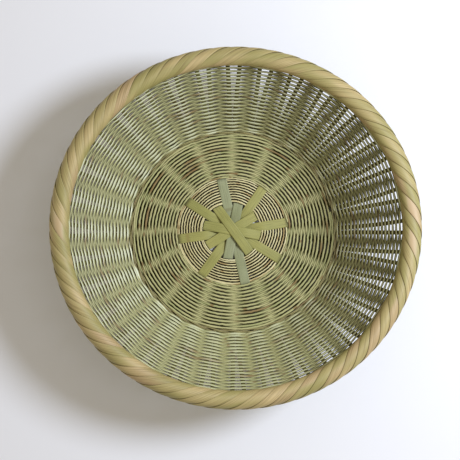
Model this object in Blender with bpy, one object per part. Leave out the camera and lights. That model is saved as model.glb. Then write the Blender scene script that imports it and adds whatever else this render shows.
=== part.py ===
"""A zaru: a round bamboo basket with a star base, a woven wall and a wrapped rim.

Everything is in metres with +Z up. The origin is on the ground, under the middle of the base.
Each piece is modelled round, and an empty that carries them all draws the basket in along Y,
because the real one is a little oval.

The base is a star of eight crossed strips. Each runs on through the base weave and up the wall,
where it is split in two halves. Ribs added at the base ring stand halfway between them and are
split in the same way. The halves are held in the rim between two hoops, and one long strip is
wound round the rim five times over.
"""

import math

import bmesh
import bpy
import numpy as np
from mathutils import Vector

# The whole basket
RIM_WIDTH = 0.300
OVAL_SHARE = 0.975
HEIGHT = 0.085
CLEARANCE = 0.0003
CUT_OVERRUN = 0.002
WELD_DISTANCE = 0.000001
STRIPS = 8
FIRST_STRIP_ANGLE = math.radians(12)

# The split bamboo that it is made of
STRIP_WIDTH = 0.0083
STRIP_THICKNESS = 0.0005
SLIT_WIDTH = 0.0004
RIB_TOP_WIDTH = 0.0034
WEFT_THICKNESS = 0.0006

# The star's pile, from the bottom up: the places of the four long strips, then of the short ones
LONG_PLACES = (0, 1, 2, 3)
SHORT_PLACES = (5, 4, 7, 6)

# The base
STAR_GROUND_GAP = 0.00125
STAR_MARGIN = 0.0043
CENTRE_WEAVE_OUTER_RADIUS = 0.048
BASE_RING_RADIUS = 0.089
BASE_RING_WIDTH = 0.0034
BASE_RING_WALL = 0.0012

# The wall
WALL_TURN = math.radians(8)
WALL_LENGTHS = 3
WINDOW_ROWS = 3
WINDOW_START_SHARE = 0.5
WINDOW_BAR = 0.0035
WINDOW_MARGIN = 0.0005

# The rim
RIM_THICKNESS = 0.0163
HOOP_ROOM = 0.0011
HOOP_ARC_ANGLES = (math.radians(50), math.radians(90), math.radians(135))
HOOP_SCARF = 0.008
FILLER_THICKNESS = 0.0032
FILLER_SIDES = 6
WRAP_THICKNESS = 0.0005
WRAP_GAP = 0.00075
WRAP_LOOPS = 64
WRAP_PASSES = 5
WRAP_LOOP_POINTS = 10
WRAP_PINCH_SHARE = 0.75
WRAP_LEAST_GAP = 0.0004

# Colours, as base colour and roughness
OLIVE_STRIP = ((0.40, 0.40, 0.15), 0.45)
GREY_GREEN_STRIP = ((0.36, 0.40, 0.27), 0.45)
RIB = ((0.33, 0.36, 0.16), 0.5)
CREAM_WEFT = ((0.50, 0.44, 0.22), 0.5)
GREEN_WEFT = ((0.32, 0.35, 0.16), 0.5)
SHEENY_WEFT = ((0.38, 0.41, 0.22), 0.4)
HOOP = ((0.42, 0.36, 0.16), 0.6)
WRAP = ((0.55, 0.45, 0.19), 0.4)

# Angles: a strip's two ends stand half a turn apart, and the added ribs halfway between strips
STAR_STEP = math.pi / STRIPS
PAIR_STEP = STAR_STEP / 2
HALF_RIB_STEP = PAIR_STEP / 2
HALF_RIBS = 8 * STRIPS

# Heights of the base: the mid-height of the strips where they lie in the base weave, and where
# the long strips and the short ones change places at the edge of the star
RIB_ROOM = STRIP_THICKNESS / 2 + CLEARANCE
WEAVE_HALF = RIB_ROOM + WEFT_THICKNESS
BASE_LEVEL = BASE_RING_WALL + RIB_ROOM
PILE_STEP = STRIP_THICKNESS + CLEARANCE
MEETING_LEVEL = STAR_GROUND_GAP + STRIP_THICKNESS / 2 + PILE_STEP * (STRIPS - 1) / 2

# Distances from the middle of the base
PILE_EDGE = STRIP_WIDTH / 2 / math.tan(STAR_STEP) + CLEARANCE
PARTING = STRIP_WIDTH / 2 / math.tan(STAR_STEP / 2) + CLEARANCE
CENTRE_WEAVE_INNER_RADIUS = PARTING + STAR_MARGIN
RING_INNER_RADIUS = BASE_RING_RADIUS - BASE_RING_WIDTH / 2
RING_OUTER_RADIUS = BASE_RING_RADIUS + BASE_RING_WIDTH / 2
BASE_WEAVE_INNER_RADIUS = CENTRE_WEAVE_OUTER_RADIUS + CLEARANCE
BASE_WEAVE_OUTER_RADIUS = RING_INNER_RADIUS - CLEARANCE

# The wall is an arc from the foot of the ribs to the middle of the rim
FOOT_RADIUS = RING_OUTER_RADIUS + CLEARANCE
RIM_RADIUS = RIM_WIDTH / 2 - RIM_THICKNESS / 2
RIM_LEVEL = HEIGHT - RIM_THICKNESS / 2
WALL_CHORD = math.hypot(RIM_RADIUS - FOOT_RADIUS, RIM_LEVEL - BASE_LEVEL)
WALL_CHORD_SLOPE = math.atan2(RIM_LEVEL - BASE_LEVEL, RIM_RADIUS - FOOT_RADIUS)
FOOT_SLOPE = WALL_CHORD_SLOPE - WALL_TURN / 2
TOP_SLOPE = WALL_CHORD_SLOPE + WALL_TURN / 2
WALL_ARC_RADIUS = WALL_CHORD / 2 / math.sin(WALL_TURN / 2)
WALL_LENGTH = WALL_ARC_RADIUS * WALL_TURN
WEAVE_START = (WEAVE_HALF * math.sin(FOOT_SLOPE) + CLEARANCE) / math.cos(FOOT_SLOPE)
WEAVE_END = WALL_LENGTH - RIM_THICKNESS / 2 - CLEARANCE

# The rim's section, measured from its middle
HOOP_RADIUS = RIM_THICKNESS / 2 - WRAP_THICKNESS - HOOP_ROOM
FILLER_RADIUS = FILLER_THICKNESS / 2
RIB_END = HOOP_RADIUS - FILLER_THICKNESS - CLEARANCE
FILLER_PLACE = HOOP_RADIUS - FILLER_RADIUS
HOOP_LIFT = RIM_RADIUS / math.cos(HALF_RIB_STEP / 2) - RIM_RADIUS
WRAP_CENTRE_RADIUS = RIM_THICKNESS / 2 - WRAP_THICKNESS / 2

# A half rib's distance from the middle line of its pair, and half its own width
HALF_RIB_FOOT_OFFSET = (STRIP_WIDTH + SLIT_WIDTH) / 4
HALF_RIB_FOOT_HALF = (STRIP_WIDTH - SLIT_WIDTH) / 4
HALF_RIB_TOP_OFFSET = RIM_RADIUS * math.tan(HALF_RIB_STEP / 2)


def clear_scene():
    """Removes what the scene holds at the start."""
    for obj in list(bpy.data.objects):
        bpy.data.objects.remove(obj, do_unlink=True)


def bamboo(name, finish):
    """A bamboo material of the piece's own."""
    colour, roughness = finish
    material = bpy.data.materials.new(name)
    material.use_nodes = True
    shader = material.node_tree.nodes["Principled BSDF"]
    shader.inputs["Base Color"].default_value = (*colour, 1)
    shader.inputs["Roughness"].default_value = roughness
    shader.inputs["Metallic"].default_value = 0
    return material


def add_object(name, bm, oval, angle=0, finish=None):
    """Makes an object of the bmesh, turned about the basket's axis. With no finish it is a cutter."""
    bmesh.ops.recalc_face_normals(bm, faces=bm.faces)
    mesh = bpy.data.meshes.new(name)
    bm.to_mesh(mesh)
    bm.free()
    obj = bpy.data.objects.new(name, mesh)
    bpy.context.scene.collection.objects.link(obj)
    obj.parent = oval
    obj.rotation_euler.z = angle
    if finish:
        mesh.materials.append(bamboo(name, finish))
    else:
        obj.hide_render = True
        obj.display_type = "WIRE"
    return obj


def shade_round(obj, sharp_angle=math.radians(40)):
    """Shades the object smooth, but for edges that turn more than the given angle."""
    obj.data.shade_smooth()
    obj.data.set_sharp_from_angle(angle=sharp_angle)


def extrude_to(bm, face, before, after, keep=False):
    """Extrudes a face with corners at the points before, and moves its copy's to those after."""
    made = bmesh.ops.extrude_face_region(bm, geom=[face])["geom"]
    end = next(item for item in made if isinstance(item, bmesh.types.BMFace))
    if not keep:
        bm.faces.remove(face)
    nearest = [
        min(range(len(before)), key=lambda i: (vert.co - before[i]).length) for vert in end.verts
    ]
    for vert, index in zip(end.verts, nearest):
        vert.co = after[index]
    return end


def sweep(bm, sections):
    """Extrudes a face through all sections, and returns its first and its last place."""
    first = last = bm.faces.new([bm.verts.new(point) for point in sections[0]])
    for before, after in zip(sections, sections[1:]):
        last = extrude_to(bm, last, before, after, keep=last is first)
    return first, last


def closed_sweep(bm, sections):
    """Extrudes a face through all sections and back to the first, as a ring."""
    ends = sweep(bm, [*sections, sections[0]])
    bmesh.ops.delete(bm, geom=list(ends), context="FACES_ONLY")
    bmesh.ops.remove_doubles(bm, verts=bm.verts, dist=WELD_DISTANCE)


def turned(point, angle):
    """A point given ahead, aside and up, turned about the basket's axis."""
    x, y, z = point
    return Vector(
        (x * math.cos(angle) - y * math.sin(angle), x * math.sin(angle) + y * math.cos(angle), z)
    )


def wall_point(distance):
    """The radius, height and slope of the wall's middle, this far up from the foot of the ribs."""
    slope = FOOT_SLOPE + distance / WALL_ARC_RADIUS
    radius = FOOT_RADIUS + WALL_ARC_RADIUS * (math.sin(slope) - math.sin(FOOT_SLOPE))
    level = BASE_LEVEL + WALL_ARC_RADIUS * (math.cos(FOOT_SLOPE) - math.cos(slope))
    return radius, level, slope


def weave_distances():
    """The distances up the wall at which the wall weave and the ribs inside it bend."""
    step = (WEAVE_END - WEAVE_START) / WALL_LENGTHS
    return [WEAVE_START + step * i for i in range(WALL_LENGTHS + 1)]


def half_rib(distance):
    """A half rib's offset from the middle of its pair, and half its width, this far up the wall."""
    share = (distance - WEAVE_START) / (WALL_LENGTH - WEAVE_START)
    offset = HALF_RIB_FOOT_OFFSET + (HALF_RIB_TOP_OFFSET - HALF_RIB_FOOT_OFFSET) * share
    half = HALF_RIB_FOOT_HALF + (RIB_TOP_WIDTH / 2 - HALF_RIB_FOOT_HALF) * share
    return offset, half


def half_rib_section(radius, level, slope, distance, side, end):
    """The corners of a half rib, on the left or right of its pair and at either end of a strip."""
    offset, half = half_rib(distance)
    middle = Vector((radius * end, offset * side, level))
    lean = math.atan2(offset, radius)
    across = Vector((-math.sin(lean) * end, math.cos(lean) * side, 0)) * half
    outward = Vector((math.cos(lean) * end, math.sin(lean) * side, 0)) * math.sin(slope)
    outward = (outward - Vector((0, 0, math.cos(slope)))) * (STRIP_THICKNESS / 2)
    return [
        middle - across - outward,
        middle + across - outward,
        middle + across + outward,
        middle - across + outward,
    ]


def half_rib_sections(side, end):
    """A half rib from its first bend above the slit, up the wall and into the rim."""
    sections = []
    for distance in weave_distances()[1:]:
        sections.append(half_rib_section(*wall_point(distance), distance, side, end))
    for along in (-HOOP_RADIUS, RIB_END):
        radius = RIM_RADIUS + along * math.cos(TOP_SLOPE)
        level = RIM_LEVEL + along * math.sin(TOP_SLOPE)
        distance = WALL_LENGTH + along
        sections.append(half_rib_section(radius, level, TOP_SLOPE, distance, side, end))
    return sections


def strip_sections(path):
    """Mitred corners of a whole strip along a path of places ahead and up."""
    sections = []
    for i, (ahead, level) in enumerate(path):
        here = Vector((ahead, level))
        legs = [(here - Vector(path[i - 1])).normalized()] if i else []
        if i + 1 < len(path):
            legs.append((Vector(path[i + 1]) - here).normalized())
        middle = sum(legs, Vector((0, 0))).normalized()
        reach = STRIP_THICKNESS / 2 / middle.dot(legs[0])
        under = Vector((middle.y, 0, -middle.x)) * reach
        aside = Vector((0, STRIP_WIDTH / 2, 0))
        place = Vector((ahead, 0, level))
        sections.append(
            [place - aside - under, place + aside - under, place + aside + under, place - aside + under]
        )
    return sections


def split_end(bm, face, end):
    """Splits a strip's end in two, and draws each half up the wall and into the rim."""
    near = [face, *face.edges, *face.verts]
    for side in (-1, 1):
        cut = bmesh.ops.bisect_plane(
            bm,
            geom=near,
            plane_co=(0, side * SLIT_WIDTH / 2, 0),
            plane_no=(0, 1, 0),
            dist=WELD_DISTANCE,
        )
        near = cut["geom"]
    parts = [item for item in near if isinstance(item, bmesh.types.BMFace)]
    parts.sort(key=lambda part: part.calc_center_median().y)
    for side, half in ((-1, parts[0]), (1, parts[-1])):
        rising = sorted((vert.co.copy() for vert in half.verts), key=lambda corner: corner.z)
        before = [
            min(rising[2:], key=lambda corner: corner.y * side),
            max(rising[2:], key=lambda corner: corner.y * side),
            max(rising[:2], key=lambda corner: corner.y * side),
            min(rising[:2], key=lambda corner: corner.y * side),
        ]
        for after in half_rib_sections(side, end):
            half = extrude_to(bm, half, before, after)
            before = after


def wall_foot_path():
    """The path of a strip or an added rib from inside the base ring to where its slit starts."""
    radius, level, _ = wall_point(WEAVE_START)
    return [(FOOT_RADIUS, BASE_LEVEL), (radius, level)]


def make_strip(name, place, angle, finish, oval):
    """A strip that crosses the whole base. Its place counts up from the bottom of the star's pile."""
    pile_level = MEETING_LEVEL + PILE_STEP * (place - (STRIPS - 1) / 2)
    parting_level = MEETING_LEVEL + math.copysign(PILE_STEP / 2, pile_level - MEETING_LEVEL)
    arm = [
        (PILE_EDGE, pile_level),
        (PARTING, parting_level),
        (CENTRE_WEAVE_INNER_RADIUS, MEETING_LEVEL),
        (CENTRE_WEAVE_OUTER_RADIUS + CLEARANCE / 2, BASE_LEVEL),
        *wall_foot_path(),
    ]
    path = [(-ahead, level) for ahead, level in reversed(arm)] + arm
    bm = bmesh.new()
    first, last = sweep(bm, strip_sections(path))
    split_end(bm, first, -1)
    split_end(bm, last, 1)
    return add_object(name, bm, oval, angle, finish)


def make_rib(name, angle, oval):
    """A rib that is added at the base ring."""
    path = [(RING_INNER_RADIUS, BASE_LEVEL), *wall_foot_path()]
    bm = bmesh.new()
    _, last = sweep(bm, strip_sections(path))
    split_end(bm, last, 1)
    return add_object(name, bm, oval, angle, RIB)


def make_centre_weave(oval):
    """The first rounds of weft, which pass under the long strips and over the short ones."""
    flat = STRIP_WIDTH / 2 + CLEARANCE
    ends = (
        (CENTRE_WEAVE_INNER_RADIUS, MEETING_LEVEL),
        (CENTRE_WEAVE_OUTER_RADIUS, BASE_LEVEL),
    )
    sections = []
    for i in range(2 * STRIPS):
        swing = (RIB_ROOM + WEFT_THICKNESS) * (-1 if i % 2 == 0 else 1)
        for aside in (-flat, flat):
            (inner, inner_level), (outer, outer_level) = ends
            corners = (
                (inner, inner_level + swing - WEFT_THICKNESS),
                (outer, outer_level + swing - WEFT_THICKNESS),
                (outer, outer_level + swing + WEFT_THICKNESS),
                (inner, inner_level + swing + WEFT_THICKNESS),
            )
            sections.append([turned((ahead, aside, z), STAR_STEP * i) for ahead, z in corners])
    bm = bmesh.new()
    closed_sweep(bm, sections)
    return add_object("centre_weave", bm, oval, FIRST_STRIP_ANGLE, CREAM_WEFT)


def cut_out(obj, name, shapes, angles, oval):
    """Cuts every shape, given by its sections, out of the object at each of the angles."""
    bm = bmesh.new()
    for angle in angles:
        for sections in shapes:
            sweep(bm, [[turned(corner, angle) for corner in section] for section in sections])
    cutter = add_object(f"{obj.name}_{name}", bm, oval, FIRST_STRIP_ANGLE)
    cut = obj.modifiers.new(name, "BOOLEAN")
    cut.operation = "DIFFERENCE"
    cut.solver = "EXACT"
    cut.object = cutter


def flat_tunnel(inner, outer):
    """The sections of a level tunnel for whole strips, past both radii."""
    half = STRIP_WIDTH / 2 + CLEARANCE
    low, high = BASE_LEVEL - RIB_ROOM, BASE_LEVEL + RIB_ROOM
    return [
        [(x, -half, low), (x, half, low), (x, half, high), (x, -half, high)]
        for x in (inner - CUT_OVERRUN, outer + CUT_OVERRUN)
    ]


def make_base_weave(oval):
    """The weft of the base, thick where it goes round a strip and thin between strips."""
    flat = STRIP_WIDTH / 2 + CLEARANCE + WEFT_THICKNESS
    inner, outer = BASE_WEAVE_INNER_RADIUS, BASE_WEAVE_OUTER_RADIUS
    places = ((-flat, WEAVE_HALF, 0), (flat, WEAVE_HALF, 0), (0, WEFT_THICKNESS, STAR_STEP / 2))
    sections = []
    for i in range(2 * STRIPS):
        for aside, half, turn in places:
            low, high = BASE_LEVEL - half, BASE_LEVEL + half
            corners = ((inner, low), (outer, low), (outer, high), (inner, high))
            angle = STAR_STEP * i + turn
            sections.append([turned((ahead, aside, z), angle) for ahead, z in corners])
    bm = bmesh.new()
    closed_sweep(bm, sections)
    weave = add_object("base_weave", bm, oval, FIRST_STRIP_ANGLE, GREEN_WEFT)
    angles = [STAR_STEP * i for i in range(2 * STRIPS)]
    cut_out(weave, "tunnels", [flat_tunnel(inner, outer)], angles, oval)
    return weave


def make_base_ring(oval):
    """The twined ring on which the basket stands, with a tunnel for every strip and added rib."""
    flat = STRIP_WIDTH / 2 + CLEARANCE + WEFT_THICKNESS
    inner, outer = RING_INNER_RADIUS, RING_OUTER_RADIUS
    top = BASE_LEVEL + RIB_ROOM + BASE_RING_WALL
    corners = ((inner, 0), (outer, 0), (outer, top), (inner, top))
    sections = []
    for i in range(4 * STRIPS):
        for aside in (-flat, flat):
            sections.append([turned((ahead, aside, z), PAIR_STEP * i) for ahead, z in corners])
    bm = bmesh.new()
    closed_sweep(bm, sections)
    ring = add_object("base_ring", bm, oval, FIRST_STRIP_ANGLE, GREEN_WEFT)
    angles = [PAIR_STEP * i for i in range(4 * STRIPS)]
    cut_out(ring, "tunnels", [flat_tunnel(inner, outer)], angles, oval)
    return ring


def wall_layer(distance, aside, depth):
    """A point at this distance up the wall, and this deep outward from the wall's middle."""
    radius, level, slope = wall_point(distance)
    return (radius + depth * math.sin(slope), aside, level - depth * math.cos(slope))


def wall_windows():
    """The openings between the half ribs of a pair, where the weave can be seen through."""
    first = WEAVE_START + (WEAVE_END - WEAVE_START) * WINDOW_START_SHARE
    step = (WEAVE_END - first) / WINDOW_ROWS
    depth = WEAVE_HALF + CUT_OVERRUN
    windows = []
    for i in range(WINDOW_ROWS):
        sections = []
        for distance in (first + step * i, first + step * (i + 1) - WINDOW_BAR):
            offset, half = half_rib(distance)
            aside = offset - half - WINDOW_MARGIN
            places = ((-aside, depth), (aside, depth), (aside, -depth), (-aside, -depth))
            sections.append([wall_layer(distance, y, z) for y, z in places])
        windows.append(sections)
    return windows


def make_wall_weave(oval):
    """The weft of the wall. Each pair of half ribs runs in a tunnel that widens to the rim."""
    distances = weave_distances()
    sections = []
    for i in range(4 * STRIPS):
        for side, turn in ((-1, 0), (1, 0), (0, PAIR_STEP / 2)):
            half = WEAVE_HALF if side else WEFT_THICKNESS
            faces = []
            for distance in distances:
                aside = side * (sum(half_rib(distance)) + CLEARANCE + WEFT_THICKNESS)
                faces.append([wall_layer(distance, aside, depth) for depth in (half, -half)])
            outline = [face[0] for face in faces] + [face[1] for face in reversed(faces)]
            sections.append([turned(corner, PAIR_STEP * i + turn) for corner in outline])
    bm = bmesh.new()
    closed_sweep(bm, sections)
    weave = add_object("wall_weave", bm, oval, FIRST_STRIP_ANGLE, SHEENY_WEFT)
    tunnel = []
    for distance in (distances[0] - CUT_OVERRUN, *distances, distances[-1] + CUT_OVERRUN):
        aside = sum(half_rib(distance)) + CLEARANCE
        places = ((-aside, RIB_ROOM), (aside, RIB_ROOM), (aside, -RIB_ROOM), (-aside, -RIB_ROOM))
        tunnel.append([wall_layer(distance, y, depth) for y, depth in places])
    angles = [PAIR_STEP * i for i in range(4 * STRIPS)]
    cut_out(weave, "tunnels", [tunnel], angles, oval)
    cut_out(weave, "windows", wall_windows(), angles, oval)
    return weave


def rim_section_point(along, outward):
    """A place in the rim's section, given along the ribs and square to them, as radius and level."""
    radius = RIM_RADIUS + along * math.cos(TOP_SLOPE) + outward * math.sin(TOP_SLOPE)
    level = RIM_LEVEL + along * math.sin(TOP_SLOPE) - outward * math.cos(TOP_SLOPE)
    return radius, level


def hoop_section(outline, steps, scarf=0, short=0):
    """The hoop's outline after this many half ribs, slanted over the scarf and cut this short."""
    reach = max(abs(along) for along, _ in outline)
    section = []
    for along, outward in outline:
        radius, level = rim_section_point(along, outward)
        slant = (scarf / 2 * (along / reach + 1) - short) / RIM_RADIUS
        angle = HALF_RIB_STEP * steps + slant
        from_flat = slant % HALF_RIB_STEP - HALF_RIB_STEP / 2
        length = (radius + HOOP_LIFT) / math.cos(from_flat)
        section.append(Vector((length * math.cos(angle), length * math.sin(angle), level)))
    return section


def make_rim_hoop(name, outline, oval):
    """A hoop with one flat side to each half rib. Its two ends meet in a slanting joint."""
    sections = [hoop_section(outline, 0, HOOP_SCARF)]
    sections += [hoop_section(outline, i) for i in range(1, HALF_RIBS + 1)]
    sections.append(hoop_section(outline, HALF_RIBS, HOOP_SCARF, CLEARANCE))
    bm = bmesh.new()
    sweep(bm, sections)
    hoop = add_object(name, bm, oval, FIRST_STRIP_ANGLE, HOOP)
    shade_round(hoop)
    return hoop


def hoop_outline(side):
    """The outline of the inner or the outer hoop: flat to the ribs and round to the wrap."""
    flat = RIB_ROOM
    arc = [
        (HOOP_RADIUS * math.cos(angle), side * HOOP_RADIUS * math.sin(angle))
        for angle in HOOP_ARC_ANGLES
    ]
    low = -math.sqrt(HOOP_RADIUS**2 - flat**2)
    return [(RIB_END, side * flat), *arc, (low, side * flat)]


def filler_outline():
    """The outline of the strip that fills the top of the rim, over the ends of the ribs."""
    angles = [2 * math.pi * (i + 1 / 2) / FILLER_SIDES for i in range(FILLER_SIDES)]
    return [
        (FILLER_PLACE + FILLER_RADIUS * math.cos(angle), FILLER_RADIUS * math.sin(angle))
        for angle in angles
    ]


def wrap_section(turns):
    """The wrap's four corners after this many turns round the rim, from a gap between half ribs."""
    crossing = TOP_SLOPE + math.pi
    around = crossing + 2 * math.pi * turns
    along = 2 * math.pi * WRAP_PASSES / WRAP_LOOPS * turns
    pitch = 2 * math.pi / WRAP_LOOPS
    half = (pitch - WRAP_GAP / (RIM_RADIUS - RIM_THICKNESS / 2)) / 2
    if abs(turns - round(turns)) < 1 / 2 / WRAP_LOOP_POINTS:
        radius = RIM_RADIUS + WRAP_CENTRE_RADIUS * math.cos(crossing)
        half = (pitch - RIB_TOP_WIDTH / radius) / 2 * WRAP_PINCH_SHARE
    corners = []
    for side, layer in ((-1, 1), (1, 1), (1, -1), (-1, -1)):
        reach = WRAP_CENTRE_RADIUS + layer * WRAP_THICKNESS / 2
        radius = RIM_RADIUS + reach * math.cos(around)
        angle = along + side * half
        level = RIM_LEVEL + reach * math.sin(around)
        corners.append(Vector((radius * math.cos(angle), radius * math.sin(angle), level)))
    return corners


def least_distance(points, line):
    """The least distance from any of the points to any leg of the line."""
    starts, legs = line[:-1], np.diff(line, axis=0)
    rays = points[:, None, :] - starts[None, :, :]
    shares = np.clip((rays * legs).sum(axis=2) / (legs * legs).sum(axis=1), 0, 1)
    return float(np.linalg.norm(rays - shares[:, :, None] * legs, axis=2).min())


def print_least_gap(sections):
    """Measures the wrap's least gap to itself, between its two edges and between its two ends."""
    corners = np.array([[tuple(corner) for corner in section] for section in sections])
    gaps = []
    for left, right in ((corners[:, 0], corners[:, 1]), (corners[:, 3], corners[:, 2])):
        gaps += [least_distance(left, right), least_distance(right, left)]
    ends = corners[0][:, None, :] - corners[-1][None, :, :]
    gaps.append(float(np.linalg.norm(ends, axis=2).min()))
    state = "over" if min(gaps) > WRAP_LEAST_GAP else "UNDER"
    print(f"rim_wrap: least gap to itself {min(gaps):.6f} m, {state} {WRAP_LEAST_GAP} m")


def make_rim_wrap(oval):
    """One flat strip, wound round the rim in five passes that lie beside each other.

    It runs between the half ribs below the hoops, drawn narrow there, and its two ends meet
    under the rim.
    """
    loop_length = 2 * math.pi * WRAP_CENTRE_RADIUS
    points = WRAP_LOOPS * WRAP_LOOP_POINTS
    turns = [i / WRAP_LOOP_POINTS for i in range(1, points + 1)]
    turns.append(WRAP_LOOPS + 1 / WRAP_LOOP_POINTS - WRAP_GAP / loop_length)
    sections = [wrap_section(turn) for turn in turns]
    print_least_gap(sections)
    bm = bmesh.new()
    sweep(bm, sections)
    wrap = add_object("rim_wrap", bm, oval, FIRST_STRIP_ANGLE, WRAP)
    shade_round(wrap)
    return wrap


def make_oval():
    """The empty that carries the pieces and draws them in along Y."""
    oval = bpy.data.objects.new("basket_oval", None)
    bpy.context.scene.collection.objects.link(oval)
    oval.scale.y = OVAL_SHARE
    return oval


def main():
    clear_scene()
    oval = make_oval()
    for i in range(STRIPS // 2):
        long_finish = GREY_GREEN_STRIP if i == 2 else OLIVE_STRIP
        short_finish = GREY_GREEN_STRIP if i == 1 else OLIVE_STRIP
        long_angle = FIRST_STRIP_ANGLE + 2 * STAR_STEP * i
        short_angle = long_angle + STAR_STEP
        make_strip(f"long_strip_{i + 1}", LONG_PLACES[i], long_angle, long_finish, oval)
        make_strip(f"short_strip_{i + 1}", SHORT_PLACES[i], short_angle, short_finish, oval)
    for i in range(2 * STRIPS):
        make_rib(f"added_rib_{i + 1:02d}", FIRST_STRIP_ANGLE + PAIR_STEP * (2 * i + 1), oval)
    make_centre_weave(oval)
    make_base_weave(oval)
    make_base_ring(oval)
    make_wall_weave(oval)
    make_rim_hoop("rim_inner_hoop", hoop_outline(-1), oval)
    make_rim_hoop("rim_outer_hoop", hoop_outline(1), oval)
    make_rim_hoop("rim_filler", filler_outline(), oval)
    make_rim_wrap(oval)


main()
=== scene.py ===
"""The looks of a zaru, a round bamboo basket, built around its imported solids.

Everything is in metres in the solids' frame: +Z up, the origin on the ground under the middle of
the base. A strand or strip starts as a grid made by bmesh, whose length is laid along the strand
and whose width goes round its section, and is then bent into place on the basket's profile.
"""

import logging
import math
from collections.abc import Callable
from dataclasses import dataclass, replace
from enum import Enum
from functools import partial

import bmesh
import bpy
import numpy as np
from mathutils import Matrix, Vector


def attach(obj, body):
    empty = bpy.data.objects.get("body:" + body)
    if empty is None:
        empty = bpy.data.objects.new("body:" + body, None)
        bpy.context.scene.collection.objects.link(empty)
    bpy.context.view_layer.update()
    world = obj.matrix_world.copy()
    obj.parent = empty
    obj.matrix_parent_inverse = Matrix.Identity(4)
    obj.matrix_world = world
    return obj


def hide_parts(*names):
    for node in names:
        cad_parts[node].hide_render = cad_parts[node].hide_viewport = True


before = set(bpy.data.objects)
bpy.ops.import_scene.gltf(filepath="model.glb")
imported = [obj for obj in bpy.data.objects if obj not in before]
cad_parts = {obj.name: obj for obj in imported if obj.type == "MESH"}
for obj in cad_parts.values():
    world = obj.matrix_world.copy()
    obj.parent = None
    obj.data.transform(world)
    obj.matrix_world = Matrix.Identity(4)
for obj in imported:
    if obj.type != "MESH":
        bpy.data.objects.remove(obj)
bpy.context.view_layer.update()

SEED = 586
BODY = "root"
STRAND_MAP = "strand"
# How openly each vertex lies to light, from which the materials paint shade and highlights into
# their colour
LIGHT_MAP = "open"
WELD_DISTANCE = 0.0000005

# The whole basket, as its solids have it
RIM_WIDTH = 0.300
OVAL_SHARE = 0.975
HEIGHT = 0.085
CLEARANCE = 0.0003
FIRST_STRIP_ANGLE = math.radians(12)
STRIP_WIDTH = 0.0083
STRIP_THICKNESS = 0.0005
SLIT_WIDTH = 0.0004
RIB_TOP_WIDTH = 0.0034
STAR_GROUND_GAP = 0.00125
STAR_MARGIN = 0.0043
CENTRE_WEAVE_OUTER_RADIUS = 0.048
BASE_RING_RADIUS = 0.089
BASE_RING_WIDTH = 0.0034
BASE_RING_WALL = 0.0012
WALL_TURN = math.radians(8)
RIM_THICKNESS = 0.0163
HOOP_ROOM = 0.0011
FILLER_THICKNESS = 0.0032
WRAP_THICKNESS = 0.0005
WRAP_LOOPS = 64
WRAP_PASSES = 5
WRAP_MAP_WIDTH = 0.030
SHORT_PLACES = (5, 4, 7, 6)

# Counts and steps of the ribs, in degrees how far a pair strays at most, and from where to where
# along the profile the arms' straying fades and up what share of the wall the pairs' grows
STAR_ARMS = 16
RIB_PAIRS = 32
PAIR_STRAY = 0.45
ARM_STEP = 2 * math.pi / STAR_ARMS
ARM_STRAY_FADE = (0.046, 0.084)
PAIR_STRAY_SHARE = 0.7

# Levels of the base, and distances along the basket's profile from the middle of the base outward
RIB_ROOM = STRIP_THICKNESS / 2 + CLEARANCE
BASE_LEVEL = BASE_RING_WALL + RIB_ROOM
PILE_STEP = STRIP_THICKNESS + CLEARANCE
PILE = 8
MEETING_LEVEL = STAR_GROUND_GAP + STRIP_THICKNESS / 2 + PILE_STEP * (PILE - 1) / 2
PILE_EDGE = STRIP_WIDTH / 2 / math.tan(ARM_STEP) + CLEARANCE
PARTING = STRIP_WIDTH / 2 / math.tan(ARM_STEP / 2) + CLEARANCE
CENTRE_WEAVE_INNER_RADIUS = PARTING + STAR_MARGIN
RING_INNER_RADIUS = BASE_RING_RADIUS - BASE_RING_WIDTH / 2
FOOT = BASE_RING_RADIUS + BASE_RING_WIDTH / 2 + CLEARANCE
RIM_RADIUS = RIM_WIDTH / 2 - RIM_THICKNESS / 2
RIM_LEVEL = HEIGHT - RIM_THICKNESS / 2
WALL_CHORD = math.hypot(RIM_RADIUS - FOOT, RIM_LEVEL - BASE_LEVEL)
WALL_CHORD_SLOPE = math.atan2(RIM_LEVEL - BASE_LEVEL, RIM_RADIUS - FOOT)
FOOT_SLOPE = WALL_CHORD_SLOPE - WALL_TURN / 2
TOP_SLOPE = WALL_CHORD_SLOPE + WALL_TURN / 2
WALL_ARC_RADIUS = WALL_CHORD / 2 / math.sin(WALL_TURN / 2)
WALL_LENGTH = WALL_ARC_RADIUS * WALL_TURN
WALL_WEAVE_START = 0.0026
WALL_WEAVE_END = WALL_LENGTH - RIM_THICKNESS / 2 - CLEARANCE
HOOP_RADIUS = RIM_THICKNESS / 2 - WRAP_THICKNESS - HOOP_ROOM
RIB_END = HOOP_RADIUS - FILLER_THICKNESS - CLEARANCE
STRIP_REACH = FOOT + WALL_LENGTH + RIB_END
WRAP_CENTRE_RADIUS = RIM_THICKNESS / 2 - WRAP_THICKNESS / 2

# A half rib's offset from the middle of its pair and half its own width, at the foot and the rim
HALF_RIB_FOOT = ((STRIP_WIDTH + SLIT_WIDTH) / 4, (STRIP_WIDTH - SLIT_WIDTH) / 4)
HALF_RIB_TOP = (0.0056, RIB_TOP_WIDTH / 2)
HALF_RIB_BOW = 1.6

Colour = tuple[float, float, float]
Array = np.ndarray
Placing = Callable[[Array, Array], Array]
Scale = tuple[float, float, float]


def smooth_step(value: Array, first: float = 0.0, last: float = 1.0) -> Array:
    """Eases from 0 at the first value to 1 at the last one, and holds it outside of them."""
    share = np.clip((value - first) / (last - first), 0, 1)
    return share * share * (3 - 2 * share)


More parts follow.
